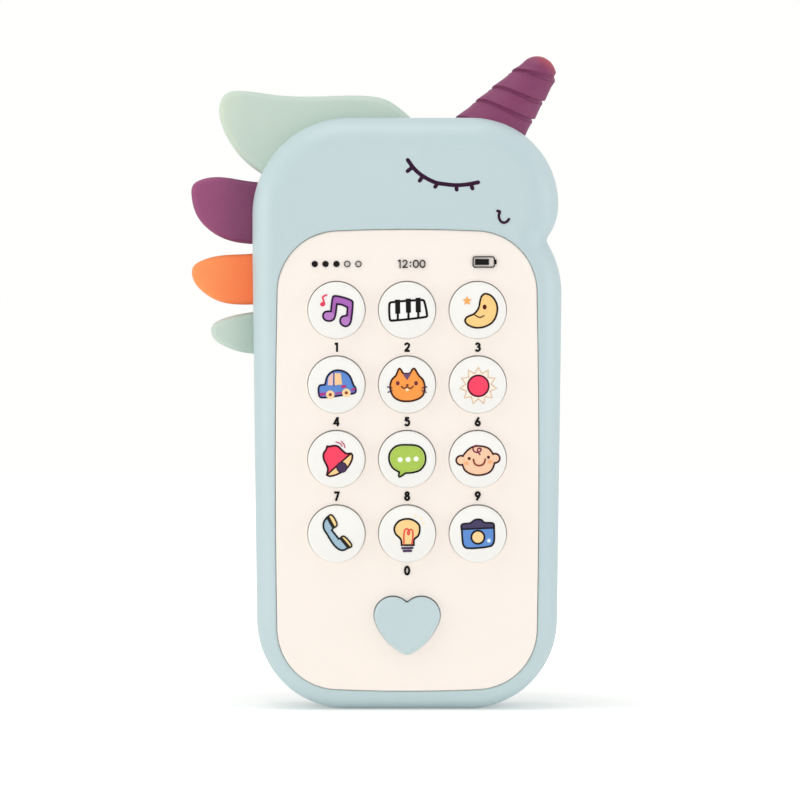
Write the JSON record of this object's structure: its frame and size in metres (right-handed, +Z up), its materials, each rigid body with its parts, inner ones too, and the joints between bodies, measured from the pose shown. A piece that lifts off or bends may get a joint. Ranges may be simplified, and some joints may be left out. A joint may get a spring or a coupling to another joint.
{
  "type": "toy cell phone",
  "caption": "Toy cell phone with a unicorn head: round picture keys and a heart button that press in, a soft mane and horn, a speaker, a slide switch and a battery door.",
  "frame": {"origin": "middle of the flat bottom edge that the phone stands on, 1 mm in front of the seam", "axes": "+Z up along the phone's length, +X to the right of someone facing the keys, +Y from the keys to the battery door"},
  "size_m": [0.0923, 0.0285, 0.1624],
  "materials": {
    "shell_blue": "satin moulded ABS",
    "plate_cream": "satin moulded ABS",
    "key_white": "satin moulded ABS with a printed picture",
    "heart_blue": "satin moulded ABS",
    "membrane_grey": "matt silicone rubber",
    "board_green": "solder-masked glass-fibre board",
    "chip_black": "black resin",
    "capacitor_sleeve": "shrunk sleeve",
    "lamp_clear": "clear epoxy",
    "screw_steel": "zinc-plated",
    "cell_sleeve": "printed steel jacket",
    "contact_nickel": "nickel-plated",
    "basket_steel": "zinc-plated",
    "cone_paper": "pressed black paper",
    "magnet_dark": "sintered ferrite",
    "can_steel": "tin-plated",
    "lever_black": "moulded",
    "knob_grey": "moulded",
    "wire_red": "PVC insulation",
    "wire_black": "PVC insulation",
    "wire_blue": "PVC insulation",
    "wire_yellow": "PVC insulation",
    "silicone_green": "soft silicone",
    "silicone_purple": "soft silicone",
    "silicone_orange": "soft silicone",
    "horn_purple": "soft silicone"
  },
  "bodies": {
    "casing": {"front_shell": "shell_blue", "rear_shell": "shell_blue", "faceplate": "plate_cream", "keypad_membrane": "membrane_grey", "main_board": "board_green", "chip_blob": "chip_black", "capacitor": "capacitor_sleeve", "leds": "lamp_clear", "board_screws": "screw_steel", "case_screws": "screw_steel", "battery_1": "cell_sleeve", "battery_2": "cell_sleeve", "battery_3": "cell_sleeve", "contact_minus": "contact_nickel", "contact_plus": "contact_nickel", "contact_link_lower": "contact_nickel", "contact_link_upper": "contact_nickel", "contact_springs": "contact_nickel", "speaker_basket": "basket_steel", "speaker_cone": "cone_paper", "speaker_magnet": "magnet_dark", "speaker_screws": "screw_steel", "switch_can": "can_steel", "wire_battery_plus": "wire_red", "wire_battery_minus": "wire_black", "wires_speaker": "wire_blue", "wires_switch": "wire_yellow", "mane_top": "silicone_green", "mane_upper": "silicone_purple", "mane_middle": "silicone_orange", "mane_lower": "silicone_green", "horn": "horn_purple"},
    "key_1_music": {"key_1_music": "key_white"},
    "key_2_piano": {"key_2_piano": "key_white"},
    "key_3_moon": {"key_3_moon": "key_white"},
    "key_4_car": {"key_4_car": "key_white"},
    "key_5_cat": {"key_5_cat": "key_white"},
    "key_6_sun": {"key_6_sun": "key_white"},
    "key_7_bell": {"key_7_bell": "key_white"},
    "key_8_speech": {"key_8_speech": "key_white"},
    "key_9_baby": {"key_9_baby": "key_white"},
    "key_handset": {"key_handset": "key_white"},
    "key_0_bulb": {"key_0_bulb": "key_white"},
    "key_camera": {"key_camera": "key_white"},
    "heart_button": {"heart_button": "heart_blue"},
    "door": {"battery_door": "shell_blue", "door_screws": "screw_steel"},
    "switch": {"switch_knob": "knob_grey", "switch_lever": "lever_black"}
  },
  "joints": [
    {"name": "key_1_music_press", "type": "slide", "parent": "casing", "child": "key_1_music", "axis": [0, 1, 0], "range_m": [0, 0.0012], "stiffness_N_per_m": 600, "springref_m": -0.0005, "deforming": ["keypad_membrane"]},
    {"name": "key_2_piano_press", "type": "slide", "parent": "casing", "child": "key_2_piano", "axis": [0, 1, 0], "range_m": [0, 0.0012], "stiffness_N_per_m": 600, "springref_m": -0.0005, "deforming": ["keypad_membrane"]},
    {"name": "key_3_moon_press", "type": "slide", "parent": "casing", "child": "key_3_moon", "axis": [0, 1, 0], "range_m": [0, 0.0012], "stiffness_N_per_m": 600, "springref_m": -0.0005, "deforming": ["keypad_membrane"]},
    {"name": "key_4_car_press", "type": "slide", "parent": "casing", "child": "key_4_car", "axis": [0, 1, 0], "range_m": [0, 0.0012], "stiffness_N_per_m": 600, "springref_m": -0.0005, "deforming": ["keypad_membrane"]},
    {"name": "key_5_cat_press", "type": "slide", "parent": "casing", "child": "key_5_cat", "axis": [0, 1, 0], "range_m": [0, 0.0012], "stiffness_N_per_m": 600, "springref_m": -0.0005, "deforming": ["keypad_membrane"]},
    {"name": "key_6_sun_press", "type": "slide", "parent": "casing", "child": "key_6_sun", "axis": [0, 1, 0], "range_m": [0, 0.0012], "stiffness_N_per_m": 600, "springref_m": -0.0005, "deforming": ["keypad_membrane"]},
    {"name": "key_7_bell_press", "type": "slide", "parent": "casing", "child": "key_7_bell", "axis": [0, 1, 0], "range_m": [0, 0.0012], "stiffness_N_per_m": 600, "springref_m": -0.0005, "deforming": ["keypad_membrane"]},
    {"name": "key_8_speech_press", "type": "slide", "parent": "casing", "child": "key_8_speech", "axis": [0, 1, 0], "range_m": [0, 0.0012], "stiffness_N_per_m": 600, "springref_m": -0.0005, "deforming": ["keypad_membrane"]},
    {"name": "key_9_baby_press", "type": "slide", "parent": "casing", "child": "key_9_baby", "axis": [0, 1, 0], "range_m": [0, 0.0012], "stiffness_N_per_m": 600, "springref_m": -0.0005, "deforming": ["keypad_membrane"]},
    {"name": "key_handset_press", "type": "slide", "parent": "casing", "child": "key_handset", "axis": [0, 1, 0], "range_m": [0, 0.0012], "stiffness_N_per_m": 600, "springref_m": -0.0005, "deforming": ["keypad_membrane"]},
    {"name": "key_0_bulb_press", "type": "slide", "parent": "casing", "child": "key_0_bulb", "axis": [0, 1, 0], "range_m": [0, 0.0012], "stiffness_N_per_m": 600, "springref_m": -0.0005, "deforming": ["keypad_membrane"]},
    {"name": "key_camera_press", "type": "slide", "parent": "casing", "child": "key_camera", "axis": [0, 1, 0], "range_m": [0, 0.0012], "stiffness_N_per_m": 600, "springref_m": -0.0005, "deforming": ["keypad_membrane"]},
    {"name": "heart_button_press", "type": "slide", "parent": "casing", "child": "heart_button", "axis": [0, 1, 0], "range_m": [0, 0.0012], "stiffness_N_per_m": 600, "springref_m": -0.0005, "deforming": ["keypad_membrane"]},
    {"name": "switch_slide", "type": "slide", "parent": "casing", "child": "switch", "axis": [1, 0, 0], "range_m": [0, 0.004]},
    {"name": "door_lift", "type": "slide", "parent": "casing", "child": "door", "axis": [0, 1, 0], "range_m": [0, 0.025]}
  ]
}
